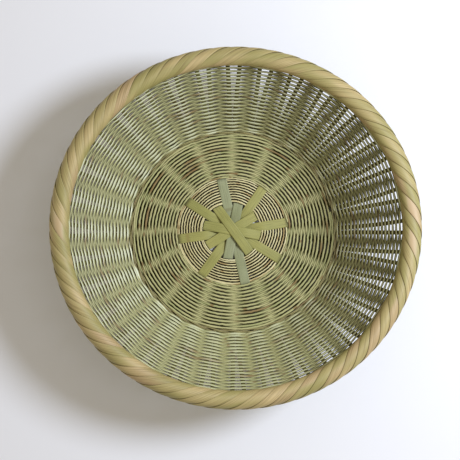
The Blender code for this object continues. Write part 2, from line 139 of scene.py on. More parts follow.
def blurred(values: Array, step: float, reach: float) -> Array:
    """Smooths an evenly spaced list with a bell of the given reach.

    Args:
        values: the numbers.
        step: the distance between them.
        reach: the bell's standard deviation, in the unit of the step.

    Returns:
        The smoothed numbers, as many as came in.
    """
    side = int(math.ceil(3 * reach / step))
    bell = np.exp(-((np.arange(-side, side + 1) * step / reach) ** 2) / 2)
    before = 2 * values[0] - values[side:0:-1]
    after = 2 * values[-1] - values[-2 : -side - 2 : -1]
    padded = np.concatenate([before, values, after])
    return np.convolve(padded, bell / bell.sum(), mode="valid")


def about_axis(radius: Array, angle: Array, level: Array) -> Array:
    """The points at these places about the axis, drawn in to the oval, one to a row."""
    return np.stack([radius * np.cos(angle), radius * np.sin(angle) * OVAL_SHARE, level], -1)


class Profile:
    """The line from the middle of the base to the rim that all strips and rounds lie on."""

    STEP = 0.00025
    SPARE = 0.012
    FOOT_EASE = 0.0011

    def __init__(self) -> None:
        """Tabulates the profile of the solids, with its bends eased."""
        self.along = np.arange(0, STRIP_REACH + self.SPARE, self.STEP)
        up_wall = np.maximum(self.along - FOOT, 0)
        slope = FOOT_SLOPE + up_wall / WALL_ARC_RADIUS
        out = WALL_ARC_RADIUS * (np.sin(slope) - math.sin(FOOT_SLOPE))
        rise = WALL_ARC_RADIUS * (math.cos(FOOT_SLOPE) - np.cos(slope))
        ramp = (CENTRE_WEAVE_INNER_RADIUS, CENTRE_WEAVE_OUTER_RADIUS)
        floor = np.interp(self.along, ramp, (MEETING_LEVEL, BASE_LEVEL))
        self.radius = blurred(np.minimum(self.along, FOOT) + out, self.STEP, self.FOOT_EASE)
        self.level = blurred(floor + rise, self.STEP, self.FOOT_EASE)
        turn = np.unwrap(np.arctan2(np.gradient(self.level), np.gradient(self.radius)))
        self.inward = -np.sin(turn)
        self.upward = np.cos(turn)

    def radius_at(self, along: Array) -> Array:
        """The distance from the basket's axis at these places."""
        return np.interp(along, self.along, self.radius)

    def lay(
        self, angle: Array, along: Array, height: Array, radius: Array | None = None
    ) -> Array:
        """Places points on the basket.

        Args:
            angle: the angles about the basket's axis.
            along: the distances along the profile.
            height: the heights over the middle of the weave, towards the inside of the basket.
            radius: the distances from the axis where they aren't the profile's own.

        Returns:
            The points, one to a row.
        """
        inward = np.interp(along, self.along, self.inward)
        upward = np.interp(along, self.along, self.upward)
        radius = (self.radius_at(along) if radius is None else radius) + height * inward
        level = np.interp(along, self.along, self.level) + height * upward
        return about_axis(radius, angle, level)


class Drift:
    """Slow, seeded unevenness of handwork, as a sum of waves over the basket's surface."""

    WAVES = 7

    def __init__(self, seed: int, amount: float, rounds: tuple[int, int], length: float) -> None:
        """Draws the waves.

        Args:
            seed: what tells this drift from the others.
            amount: about how far it strays.
            rounds: the fewest and most waves in a turn about the axis.
            length: the shortest wave along the profile.
        """
        draw = np.random.default_rng(SEED + seed)
        self.amount = amount / math.sqrt(self.WAVES / 2)
        self.turns = draw.integers(rounds[0], rounds[1] + 1, self.WAVES)
        self.rates = draw.uniform(-1, 1, self.WAVES) * 2 * math.pi / length
        self.starts = draw.uniform(0, 2 * math.pi, self.WAVES)

    def at(self, angle: Array, along: Array) -> Array:
        """The drift at these angles and distances along the profile."""
        waves = zip(self.turns, self.rates, self.starts)
        return self.amount * sum(np.sin(n * angle + rate * along + at) for n, rate, at in waves)


@dataclass(frozen=True)
class OffMiddle:
    """The first rounds lie a little off the middle, as the photographed ones do."""

    amount: float = 0.0016
    towards: float = math.radians(160)
    fade: tuple[float, float] = (0.030, 0.085)

    def at(self, angle: Array, along: Array) -> Array:
        """How far outward of its even place a round lies at these places."""
        return self.amount * np.cos(angle - self.towards) * (1 - smooth_step(along, *self.fade))


@dataclass(frozen=True)
class Closeness:
    """How much closer a zone's rounds lie on some sides of the basket, or further apart; where
    they lie closer their painted shade is lighter, and where further apart darker.

    Attributes:
        front: the share by which the gaps close up at the front.
        back: the same at the back.
        right: the same at the right.
        widening: how much wider the strands are for each whole share.
    """

    front: float = 0.0
    back: float = 0.0
    right: float = 0.0
    widening: float = 0.4

    def at(self, angle: Array) -> Array:
        """By what share the gaps between the rounds close up at these angles."""
        ends = np.where(np.sin(angle) < 0, self.front, self.back) * np.sin(angle) ** 2
        return ends + self.right * np.maximum(np.cos(angle), 0) ** 2


@dataclass(frozen=True)
class Warps:
    """The ribs that a zone's rounds pass over and under.

    Attributes:
        count: how many stand about the axis.
        strays: how far each stands from its even place, as an angle.
        fade: the two distances along the profile between which the straying grows or dies.
        dies: whether it dies outward, or grows.
    """

    count: int
    strays: tuple[float, ...]
    fade: tuple[float, float]
    dies: bool

    @property
    def step(self) -> float:
        """The even angle from one rib to the next."""
        return 2 * math.pi / self.count

    def share(self, along: Array) -> Array:
        """How much of the straying shows at these distances along the profile, from 0 to 1."""
        grown = smooth_step(np.asarray(along), *self.fade)
        return 1 - grown if self.dies else grown

    def stray(self, place: Array | int, along: Array) -> Array:
        """The angles by which places that are counted in ribs stray from the even ones."""
        table = np.append(self.strays, self.strays[0])
        return np.interp(place % self.count, range(self.count + 1), table) * self.share(along)

    def angle(self, place: Array | int, along: Array) -> Array:
        """The angle of a place that is counted in ribs, at these distances along the profile."""
        return FIRST_STRIP_ANGLE + place * self.step + self.stray(place, along)


def arm_strays() -> tuple[float, ...]:
    """How far the star's arms stand from their even places, in the order of the arms."""
    degrees = (-1.7, 1.8, -0.5, 1, 0.5, -0.6, -1.1, -2, -4, -5.4, -2.3, -1, 0.6, 1.8, 1.7, 1.7)
    return tuple(math.radians(stray) for stray in degrees)


def pair_strays() -> tuple[float, ...]:
    """Small seeded strays of the rib pairs at the rim."""
    draw = np.random.default_rng(SEED)
    return tuple(np.radians(draw.uniform(-PAIR_STRAY, PAIR_STRAY, RIB_PAIRS)))


PROFILE = Profile()
ARMS = Warps(STAR_ARMS, arm_strays(), ARM_STRAY_FADE, dies=True)
PAIR_GROWTH = (FOOT, FOOT + WALL_LENGTH * PAIR_STRAY_SHARE)
PAIRS = Warps(RIB_PAIRS, pair_strays(), PAIR_GROWTH, dies=False)
OFF_MIDDLE = OffMiddle()
ROW_DRIFT = Drift(seed=1, amount=0.00022, rounds=(2, 9), length=0.05)
WIDTH_JITTER = Drift(seed=4, amount=0.08, rounds=(5, 40), length=0.003)
ROW_JITTER = Drift(seed=2, amount=0.00010, rounds=(30, 90), length=0.004)
HEIGHT_JITTER = Drift(seed=3, amount=0.00007, rounds=(25, 70), length=0.003)


class Section(Enum):
    """Outlines of strands and strips, as shares of half the width and half the thickness."""

    STRAND = ((-1, 0), (-0.62, 0.8), (0.5, 0.98), (1, 0.15), (0.6, -0.85), (-0.55, -0.9))
    ROUND = ((-1, 0), (-0.5, 0.87), (0.5, 0.87), (1, 0), (0.5, -0.87), (-0.5, -0.87))
    FLAT = ((-1, 0), (-0.78, 0.85), (0.66, 1), (1, 0.15), (0.6, -0.85), (-0.55, -0.9))
    PEAKED = ((-1, 0), (-0.34, 0.94), (0.34, 0.94), (1, 0), (0.34, -0.94), (-0.34, -0.94))
    WRAP = (
        *((-1, -0.2), (-0.985, 0.35), (-0.9, 0.72), (-0.5, 0.93), (0, 1)),
        *((0.5, 0.93), (0.9, 0.72), (0.985, 0.35), (1, -0.2), (0.5, -0.6), (-0.5, -0.6)),
    )

    def at(self, share: Array) -> tuple[Array, Array]:
        """Walks round the outline.

        Args:
            share: how far round, from 0 to 1.

        Returns:
            The places across and through the section.
        """
        outline = np.array([*self.value, self.value[0]], float)
        steps = np.linspace(0, 1, len(outline))
        return np.interp(share, steps, outline[:, 0]), np.interp(share, steps, outline[:, 1])


def new_piece(name: str, bm: bmesh.types.BMesh, finish: bpy.types.Material) -> bpy.types.Object:
    """Makes an object of a bmesh, with smooth faces that point outward.

    Args:
        name: the piece's name.
        bm: its shape, which is used up.
        finish: its material.

    Returns:
        The object.
    """
    bmesh.ops.recalc_face_normals(bm, faces=bm.faces)
    for face in bm.faces:
        face.smooth = True
    mesh = bpy.data.meshes.new(name)
    bm.to_mesh(mesh)
    bm.free()
    mesh.materials.append(finish)
    obj = bpy.data.objects.new(name, mesh)
    bpy.context.scene.collection.objects.link(obj)
    return obj


def hand_over(
    name: str, bm: bmesh.types.BMesh, finish: "Bamboo", *nodes: str
) -> bpy.types.Object:
    """Makes a piece, and ties it to the body and the solids it stands for.

    Args:
        name: the piece's name.
        bm: its shape, which is used up.
        finish: its look, whose name is also its material slot.
        nodes: the solids that it replaces.

    Returns:
        The piece's object.
    """
    piece = new_piece(name, bm, finish.material())
    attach(piece, BODY)
    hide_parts(*nodes)
    logging.info("%s: %d faces, for %s", name, len(piece.data.polygons), ", ".join(nodes))
    return piece


def bent_grid(
    bm: bmesh.types.BMesh, lengths: int, widths: int, place: Placing, scale: Scale
) -> dict[bmesh.types.BMVert, Array]:
    """Adds a grid to the bmesh and bends it.

    Args:
        bm: the bmesh to add to.
        lengths: how many faces it has along its length.
        widths: how many it has across.
        place: gives the points for shares along and across. A fourth coordinate of a point says
            how openly it lies to light, from 0 to 1.
        scale: the start, the length and the width of its map, in metres.

    Returns:
        Each vertex's shares along and across.
    """
    layer = bm.loops.layers.uv.get(STRAND_MAP) or bm.loops.layers.uv.new(STRAND_MAP)
    light = bm.verts.layers.float.get(LIGHT_MAP) or bm.verts.layers.float.new(LIGHT_MAP)
    verts = bmesh.ops.create_grid(
        bm, x_segments=lengths, y_segments=widths, size=1, calc_uvs=True
    )["verts"]
    flat = (np.array([vert.co[:2] for vert in verts]) + 1) / 2
    shares = dict(zip(verts, flat))
    start, length, width = scale
    for face in {face for vert in verts for face in vert.link_faces}:
        for loop in face.loops:
            share = shares[loop.vert]
            loop[layer].uv = (start + share[0] * length, share[1] * width)
    for vert, point in zip(verts, place(flat[:, 0], flat[:, 1])):
        vert.co = point[:3]
        vert[light] = point[3] if len(point) > 3 else 1.0
    return shares


def close_strand(bm: bmesh.types.BMesh) -> None:
    """Welds the seams of bent grids into tubes and closes the tubes' ends."""
    bmesh.ops.remove_doubles(bm, verts=bm.verts, dist=WELD_DISTANCE)
    bmesh.ops.holes_fill(bm, edges=[edge for edge in bm.edges if edge.is_boundary], sides=0)


class Value:
    """A number or colour that varies over a surface, on which Python's operators work."""

    def __init__(self, sheet: "NodeSheet", socket: bpy.types.NodeSocket) -> None:
        """Wraps an output socket of the sheet."""
        self.sheet = sheet
        self.socket = socket

    def _math(self, operation: str, first: "Value | float", second: "Value | float") -> "Value":
        """Joins two values or numbers with a Math node."""
        return self.sheet.node("ShaderNodeMath", {"operation": operation}, {0: first, 1: second})

    def __add__(self, other: "Value | float") -> "Value":
        """This plus the other."""
        return self._math("ADD", self, other)

    def __radd__(self, other: float) -> "Value":
        """The other plus this."""
        return self._math("ADD", other, self)

    def __sub__(self, other: "Value | float") -> "Value":
        """This less the other."""
        return self._math("SUBTRACT", self, other)

    def __rsub__(self, other: float) -> "Value":
        """The other less this."""
        return self._math("SUBTRACT", other, self)

    def __mul__(self, other: "Value | float") -> "Value":
        """This times the other."""
        return self._math("MULTIPLY", self, other)

    def __rmul__(self, other: float) -> "Value":
        """The other times this."""
        return self._math("MULTIPLY", other, self)

    def __truediv__(self, other: float) -> "Value":
        """This divided by a number."""
        return self._math("MULTIPLY", self, 1 / other)

    def ramp(self, low: float, high: float) -> "Value":
        """Eases from 0 at the low value to 1 at the high one."""
        return self.sheet.node(
            "ShaderNodeMapRange",
            {"interpolation_type": "SMOOTHSTEP", "clamp": True},
            {"Value": self, "From Min": low, "From Max": high},
        )

    def band(self, span: tuple[float, float, float, float]) -> "Value":
        """Eases from 0 to 1 between the span's first two values, and back between the others."""
        return self.ramp(span[0], span[1]) * (1 - self.ramp(span[2], span[3]))

    def fraction(self) -> "Value":
        """What is over the whole number below."""
        return self._math("FRACT", self, 0.0)


class NodeSheet:
    """A material's nodes, added one at a time."""

    def __init__(self, name: str) -> None:
        """Starts a material with its shader alone.

        Args:
            name: the material's name.
        """
        self.material = bpy.data.materials.new(name)
        self.material.use_nodes = True
        self.tree = self.material.node_tree
        self.shader = self.tree.nodes["Principled BSDF"]

    def put(self, node: bpy.types.Node, inputs: dict) -> None:
        """Sets a node's inputs.

        Args:
            node: the node.
            inputs: numbers, colours or values to link, by the sockets' names or numbers.
        """
        for key, given in inputs.items():
            if isinstance(given, Value):
                self.tree.links.new(given.socket, node.inputs[key])
            else:
                colour = isinstance(given, tuple)
                node.inputs[key].default_value = (*given, 1) if colour else given

    def node(self, kind: str, settings: dict, inputs: dict, output: int | str = 0) -> Value:
        """Adds a node.

        Args:
            kind: the node's type.
            settings: its own settings, which are set first.
            inputs: what its sockets take, by name or number.
            output: the socket that is handed back.

        Returns:
            The value at that output.
        """
        node = self.tree.nodes.new(kind)
        for key, given in settings.items():
            setattr(node, key, given)
        self.put(node, inputs)
        return Value(self, node.outputs[output])

    def parts(self, spot: Value) -> tuple[Value, Value, Value]:
        """The three numbers of a vector."""
        first = self.node("ShaderNodeSeparateXYZ", {}, {0: spot}, "X")
        return first, *(Value(self, first.socket.node.outputs[axis]) for axis in "YZ")

    def strand(self) -> tuple[Value, Value]:
        """The distances along a strand and round its section, in metres."""
        return self.parts(self.node("ShaderNodeUVMap", {"uv_map": STRAND_MAP}, {}))[:2]

    def spot(self) -> tuple[Value, Value, Value]:
        """The three coordinates of a point, in metres."""
        return self.parts(self.node("ShaderNodeTexCoord", {}, {}, "Object"))

    def noise(
        self, x: Value, y: Value | float, z: Value | float = 0.0, detail: float = 2.0
    ) -> Value:
        """Cloudy noise from 0 to 1.

        Args:
            x: the first coordinate of the place where it is read.
            y: the second one.
            z: the third one.
            detail: how many finer layers it has.

        Returns:
            The noise.
        """
        spot = self.node("ShaderNodeCombineXYZ", {}, {"X": x, "Y": y, "Z": z})
        return self.node(
            "ShaderNodeTexNoise", {}, {"Vector": spot, "Scale": 1.0, "Detail": detail}
        )

    def mix(self, share: Value, first: Value | Colour, second: Value | Colour) -> Value:
        """Mixes two colours, the second one by its share."""
        inputs = {0: share, 6: first, 7: second}
        return self.node("ShaderNodeMix", {"data_type": "RGBA"}, inputs, 2)

    def finish(self, inputs: dict, height: Value, depth: float) -> bpy.types.Material:
        """Sets the shader and its bump.

        Args:
            inputs: what the shader's sockets take.
            height: the relief, from 0 to 1.
            depth: how deep the relief is, in metres.

        Returns:
            The finished material.
        """
        bump = self.node(
            "ShaderNodeBump", {}, {"Height": height, "Distance": depth, "Strength": 1.0}
        )
        self.put(self.shader, {**inputs, "Normal": bump})
        return self.material


@dataclass(frozen=True)
class Bamboo:
    """The look of split bamboo, patterned along the strand.

    Attributes:
        name: the material's name.
        main: its commonest colour.
        other: the colour that it changes to from place to place.
        stain: the colour of its rare darker or browner lengths.
        edge: the colour of the lines of its grain, and of the painted shade on its sides and deep
            between the strands.
        patch: how long a stretch of one colour is.
        stained: the share of its length that is stained.
        grain: the width of a line of grain.
        grain_share: how strongly the grain colours it.
        roughness: how rough it is.
        joints: the distance between the culm's joints.
        joint_shift: how far along that distance the pattern starts, as a share of it.
        joint_tint: the colour of the paler skin around a joint.
        painted_shade: how dark the painted shade is in the places that lie deep between the
            strands and on their sides.
        depth: the openness at which its painted shade is darkest, and that from which it has its
            own colour.
        painted_highlight: the colour of the painted highlight on the parts over the ribs, fainter
            towards the front of the basket.
        shine: how strongly its surface mirrors.
        seam: the colour of the shade where one turn slips under the next, for the wound strip.
        under_shade: the colour of the painted shade that a strip of the star takes under the
            weave.
    """

    name: str
    main: Colour
    other: Colour
    stain: Colour
    edge: Colour
    patch: float = 0.08
    stained: float = 0.12
    grain: float = 0.0005
    grain_share: float = 0.35
    roughness: float = 0.5
    joints: float = 0.29
    joint_shift: float = 0.0
    joint_tint: Colour | None = None
    painted_shade: float = 0.0
    depth: tuple[float, float] = (0.1, 0.8)
    painted_highlight: Colour | None = None
    shine: float = 0.5
    seam: Colour | None = None
    under_shade: Colour | None = None

    # How many clouds of colour there are to a patch
    LONG_CLOUDS = 0.22
    STAIN_CLOUDS = 0.6
    # How many there are to the width of a line of grain, along the strand and across it
    GRAIN_CLOUDS = (0.03, 1.0)
    FINE_CLOUDS = (0.25, 2.5)
    # How many clouds of cracks there are to a metre, along the strip and across it
    CRACKS = (14.0, 1300.0)
    # Where a joint's dark ring and paler skin begin and end, as shares of the way between joints
    RING = (0.490, 0.4975, 0.5015, 0.5075)
    PALE_SKIN = (0.482, 0.495, 0.503, 0.510)
    # The shade under the next turn, as shares of the strip's map, and where along X it deepens
    UNDER_TURN = (0.60, 0.66, 0.80, 0.82)
    UNDER_TURN_SIDES = (-0.10, 0.12)
    # How open a place must be to take the painted highlight, and between which places along Y the
    # painted highlight grows stronger, so that it is fainter at the front
    HIGHLIGHT_OPENNESS = (0.74, 0.96)
    HIGHLIGHT_SIDES = (-0.13, -0.02)
    # The radii between which a strip of the star takes its painted shade under the weave, and then
    # the ribs' colour
    UNDER_WEAVE = (CENTRE_WEAVE_OUTER_RADIUS - 0.004, CENTRE_WEAVE_OUTER_RADIUS + 0.002)
    UP_WALL = (FOOT, FOOT + 0.008)
    GRAIN_DEPTH = 0.00005

    def own_colour(
        self, sheet: NodeSheet, along: Value, around: Value, stain: Value, grain: Value
    ) -> Value:
        """The colour of the strand itself, with its patches, stains, grain and joints.

        Args:
            sheet: the material's nodes.
            along: the distance along the strand.
            around: the distance round its section.
            stain: the cloud of its stains.
            grain: the cloud of its grain.

        Returns:
            The colour.
        """
        patch = sheet.noise(along / self.patch, around * 20.0)
        long_patch = sheet.noise(along * (self.LONG_CLOUDS / self.patch), 4.7, detail=1.0)
        colour = sheet.mix(patch.ramp(0.35, 0.65), self.main, self.other)
        colour = sheet.mix(long_patch.ramp(0.42, 0.66) * 0.6, colour, self.other)
        limit = 0.72 - self.stained
        colour = sheet.mix(stain.ramp(limit, limit + 0.08) * 0.8, colour, self.stain)
        colour = sheet.mix(grain.ramp(0.45, 0.7) * self.grain_share, colour, self.edge)
        joint = (along / self.joints + self.joint_shift).fraction()
        if self.joint_tint:
            colour = sheet.mix(joint.band(self.PALE_SKIN) * 0.45, colour, self.joint_tint)
        return sheet.mix(joint.band(self.RING) * 0.75, colour, self.stain)

    def with_depth(self, sheet: NodeSheet, colour: Value) -> tuple[Value, Value]:
        """Paints a highlight on the parts that stand out over the ribs, and paints shade on those
        that lie deep.

        Args:
            sheet: the material's nodes.
            colour: the strand's colour.

        Returns:
            The colour, and how much painted shade each place has.
        """
        light = sheet.node("ShaderNodeAttribute", {"attribute_name": LIGHT_MAP}, {}, "Fac")
        if self.painted_highlight:
            # Painted highlight on the parts over the ribs, fainter towards the front of the basket
            _, y, _ = sheet.spot()
            highlight_share = y.ramp(*self.HIGHLIGHT_SIDES) * 0.45 + 0.35
            colour = sheet.mix(light.ramp(*self.HIGHLIGHT_OPENNESS) * highlight_share, colour, self.painted_highlight)
        # Painted shade: the colour turns towards the edge colour where a place lies deep between
        # the strands and on the strands' sides
        dark = (1 - light.ramp(*self.depth)) * self.painted_shade
        return sheet.mix(dark, colour, self.edge), dark

    def with_seams(
        self, sheet: NodeSheet, colour: Value, along: Value, around: Value, stain: Value
    ) -> Value:
        """Adds the cracks of the wound strip and the shade where one turn slips under the next.

        Args:
            sheet: the material's nodes.
            colour: the strip's colour.
            along: the distance along the strip.
            around: the distance round its section.
            stain: the cloud of its stains, among which it cracks.

        Returns:
            The colour.
        """
        crack = sheet.noise(along * self.CRACKS[0], around * self.CRACKS[1], 5.1)
        colour = sheet.mix(crack.ramp(0.70, 0.74) * stain.ramp(0.50, 0.60), colour, self.seam)
        x, _, _ = sheet.spot()
        place = around / WRAP_MAP_WIDTH
        wander = sheet.noise(along * 45.0, 2.2) * 0.05
        first, last, leave, end = self.UNDER_TURN
        under = (place + wander).ramp(first, last) * (1 - place.ramp(leave, end))
        share = under * (x.ramp(*self.UNDER_TURN_SIDES) * 0.65 + 0.25)
        return sheet.mix(share, colour, self.seam)

    def under_weave(self, sheet: NodeSheet, colour: Value) -> Value:
        """Paints shade on a strip of the star under the floor's weave, and dulls it up the wall to
        the ribs' colour.

        Args:
            sheet: the material's nodes.
            colour: the strip's colour.

        Returns:
            The colour.
        """
        x, y, _ = sheet.spot()
        spot = sheet.node("ShaderNodeCombineXYZ", {}, {"X": x, "Y": y})
        radius = sheet.node("ShaderNodeVectorMath", {"operation": "LENGTH"}, {0: spot}, "Value")
        # Painted shade under the floor's weave
        colour = sheet.mix(radius.ramp(*self.UNDER_WEAVE), colour, self.under_shade)
        return sheet.mix(radius.ramp(*self.UP_WALL), colour, RIB.main)

    def material(self) -> bpy.types.Material:
        """Builds the material.

        Returns:
            The material.
        """
        sheet = NodeSheet(self.name)
        along, around = sheet.strand()
        stain = sheet.noise(along * (self.STAIN_CLOUDS / self.patch), 9.1, detail=1.0)
        long, wide = (clouds / self.grain for clouds in self.GRAIN_CLOUDS)
        grain = sheet.noise(along * long, around * wide, detail=3.0)
        long, wide = (clouds / self.grain for clouds in self.FINE_CLOUDS)
        fine = sheet.noise(along * long, around * wide, 3.3)
        colour = self.own_colour(sheet, along, around, stain, grain)
        rough = fine * 0.15 + (self.roughness - 0.07)
        # Painted shade where the strands lie deep, which also makes those places rougher
        if self.painted_shade:
            colour, dark = self.with_depth(sheet, colour)
            rough = rough + dark * (1 - self.roughness)
        if self.seam:
            colour = self.with_seams(sheet, colour, along, around, stain)
        if self.under_shade:
            colour = self.under_weave(sheet, colour)
        inputs = {"Base Color": colour, "Roughness": rough, "Specular IOR Level": self.shine}
        return sheet.finish(inputs, grain * 0.7 + fine * 0.3, self.GRAIN_DEPTH)


# The ribs' colour is darker than the weft's, as painted shade where they show between the strands
RIB = Bamboo(
    "rib", (0.15, 0.138, 0.042), (0.11, 0.092, 0.026), (0.08, 0.05, 0.014), (0.05, 0.035, 0.009),
    patch=0.03, roughness=0.55, shine=0.2,
)
OLIVE = Bamboo(
    "olive_strip", (0.37, 0.345, 0.105), (0.30, 0.29, 0.085), (0.27, 0.22, 0.07),
    (0.15, 0.14, 0.045), patch=0.03, grain=0.0006, grain_share=0.5, roughness=0.55, shine=0.25,
    # The colour of its painted shade under the weave
    under_shade=(0.025, 0.02, 0.002),
)
GREY_GREEN = replace(
    OLIVE, name="grey_green_strip", main=(0.25, 0.265, 0.125), other=(0.33, 0.345, 0.19),
    stain=(0.22, 0.21, 0.10), edge=(0.14, 0.14, 0.07),
)
CREAM_WEFT = Bamboo(
    "centre_weft", (0.74, 0.68, 0.38), (0.60, 0.52, 0.25), (0.36, 0.24, 0.09),
    (0.015, 0.009, 0.001), patch=0.025, grain=0.0003, grain_share=0.2, painted_shade=1.0,
    depth=(0.65, 0.92), shine=0.1,
)
BASE_WEFT = Bamboo(
    "base_weft", (0.385, 0.39, 0.165), (0.49, 0.455, 0.215), (0.25, 0.15, 0.06),
    (0.024, 0.021, 0.001), patch=0.03, grain=0.0003, grain_share=0.15, painted_shade=0.98,
    depth=(0.15, 0.85), shine=0.1,
)
RING_WEFT = Bamboo(
    "ring_weft", (0.34, 0.32, 0.125), (0.28, 0.23, 0.085), (0.25, 0.16, 0.07),
    (0.04, 0.03, 0.008), patch=0.03, grain=0.0004, grain_share=0.15, painted_shade=0.9,
)
WALL_WEFT = Bamboo(
    "wall_weft", (0.465, 0.47, 0.205), (0.51, 0.49, 0.215), (0.31, 0.21, 0.08),
    (0.034, 0.027, 0.002), patch=0.04, grain=0.0004, grain_share=0.15, roughness=0.42,
    painted_shade=0.9, depth=(0.2, 0.9), painted_highlight=(0.665, 0.69, 0.475), shine=1.0,
)
RIM_WRAP = Bamboo(
    "rim_wrap", (0.53, 0.405, 0.185), (0.335, 0.295, 0.098), (0.48, 0.34, 0.17),
    (0.18, 0.125, 0.04), patch=0.022, stained=0.18, grain=0.0006, grain_share=0.7,
    roughness=0.58, joints=0.4717, joint_shift=0.1845, joint_tint=(0.64, 0.50, 0.33),
    seam=(0.09, 0.05, 0.015),
)


def rib_widths(along: Array) -> tuple[Array, Array]:
    """The half ribs' places up the wall.

    Args:
        along: the distances along the profile.

    Returns:
        A half rib's offset from the middle of its pair, and half its width.
    """
    share = np.clip((along - FOOT) / WALL_LENGTH, 0, None)
    low, high = HALF_RIB_FOOT, HALF_RIB_TOP
    return low[0] + (high[0] - low[0]) * share**HALF_RIB_BOW, low[1] + (high[1] - low[1]) * share


@dataclass(frozen=True)
class WeftZone:
    """The rounds of weft of one zone: one or two strands, wound as spirals that chase each other.

    Attributes:
        name: the piece's name.
        node: the solid that it replaces.
        finish: the look of its strands, whose name is also the material slot.
        warps: the ribs that it passes.
        strands: how many strands chase each other.
        rounds: how many rounds lie beside each other.
        reach: where the zone starts and ends along the profile.
        margins: how far inside of them the first and the last round lie.
        width: a strand's width.
        thickness: a strand's thickness.
        crossing: its width where it changes from over to under.
        dive: how far before and after the middle between two ribs it does so, or None where it
            does so from half rib to half rib.
        fuller: how much wider it is in the first rounds than in the last.
        shade_under_ribs: how dark its painted shade is where it lies under the ribs.
        calm: how openly it lies to light where it changes from over to under, which sets its
            painted shade there.
        section: the outline of its strands.
        closeness: where its rounds lie closer or further apart, and so where its painted shade is
            lighter or darker.
    """

    name: str
    node: str
    finish: Bamboo
    warps: Warps
    strands: int
    rounds: int
    reach: tuple[float, float]
    margins: tuple[float, float]
    width: float
    thickness: float
    crossing: float
    dive: float | None
    fuller: float
    shade_under_ribs: float
    calm: float
    section: Section
    closeness: Closeness

    # How many faces a strand has from one rib to the next, and how its map runs
    LENGTHS = 12
    NEXT_STRAND = 7.3
    MAP_WIDTHS = 2.4

    @property
    def start(self) -> float:
        """Where the first round lies along the profile."""
        return self.reach[0] + self.margins[0]

    @property
    def end(self) -> float:
        """Where the last round lies along the profile."""
        return self.reach[1] - self.margins[1]

    @property
    def pitch(self) -> float:
        """The distance from one round to the next."""
        return (self.end - self.start) / (self.rounds - 1)

    def swing(self, place: Array, along: Array, strand: int) -> Array:
        """How far over (1) or under (-1) the ribs a strand is.

        Args:
            place: the places, counted in ribs.
            along: the distances along the profile.
            strand: which of the zone's strands it is.

        Returns:
            The shares, from -1 to 1.
        """
        nearest = np.round(place)
        spacing = PROFILE.radius_at(along) * self.warps.step
        room = (0.5 - np.abs(place - nearest)) * spacing
        fall = np.clip(room / (self.dive or spacing / 2 - rib_widths(along)[0]), 0, 1)
        return np.where(np.mod(nearest + strand, 2) < 0.5, -fall, fall)

    def place(self, strand: int, first: float, count: int, length: Array, round_: Array) -> Array:
        """Lays a strand on the basket.

        Args:
            strand: which of the zone's strands it is.
            first: the place, counted in ribs, at which it starts.
            count: how many ribs it passes.
            length: the shares of its length.
            round_: the shares of its outline.

        Returns:
            The points, one to a row, with how openly each lies to light.
        """
        ribs = first + length * count
        row = np.clip(self.strands * ribs / self.warps.count + strand, 0, self.rounds - 1)
        along = self.start + self.pitch * row
        angle = self.warps.angle(ribs, along)
        along = along + OFF_MIDDLE.at(angle, along) + ROW_DRIFT.at(angle, along)
        swing = self.swing(ribs, along, strand)
        lift = STRIP_THICKNESS / 2 + self.thickness / 2
        height = lift * swing + HEIGHT_JITTER.at(angle, along)
        aside = ROW_JITTER.at(angle, along)
        across, through = self.section.at(round_)
        wide = (self.crossing + (self.width - self.crossing) * np.abs(swing)) / 2
        wide = wide * (1 + self.fuller * (1 - row / self.rounds))
        closer = self.closeness.at(angle)
        wide = wide * (1 + WIDTH_JITTER.at(angle, along) + self.closeness.widening * closer)
        height = height + through * self.thickness / 2
        point = PROFILE.lay(angle, along + aside + across * wide, height)
        # How openly each place lies to light, from which the material paints a highlight where the
        # strand lies over the ribs and shade where it lies under them and on its sides
        over = swing * np.sign(through)
        on_top = self.calm + (1 - self.calm) * over
        light = np.where(over > 0, on_top, self.calm * (1 + self.shade_under_ribs * over))
        light = light * np.abs(through)
        # Closer rounds lighten the painted shade, and rounds further apart, as on the right of the
        # wall, darken it
        return np.column_stack([point, light + (1 - light) * closer])

    def build(self) -> None:
        """Makes the zone's strands and hands them over."""
        bm = bmesh.new()
        ribs_per_row = self.warps.count / self.strands
        middle = PROFILE.radius_at(np.array([(self.start + self.end) / 2]))[0]
        count = int((self.rounds + 1) * ribs_per_row)
        length, width = self.warps.step * middle * count, self.MAP_WIDTHS * self.width
        for strand in range(self.strands):
            lay = partial(self.place, strand, -(1 + strand) * ribs_per_row, count)
            scale = (self.NEXT_STRAND * strand, length, width)
            bent_grid(bm, count * self.LENGTHS, len(self.section.value), lay, scale)
        close_strand(bm)
        hand_over(self.name, bm, self.finish, self.node)


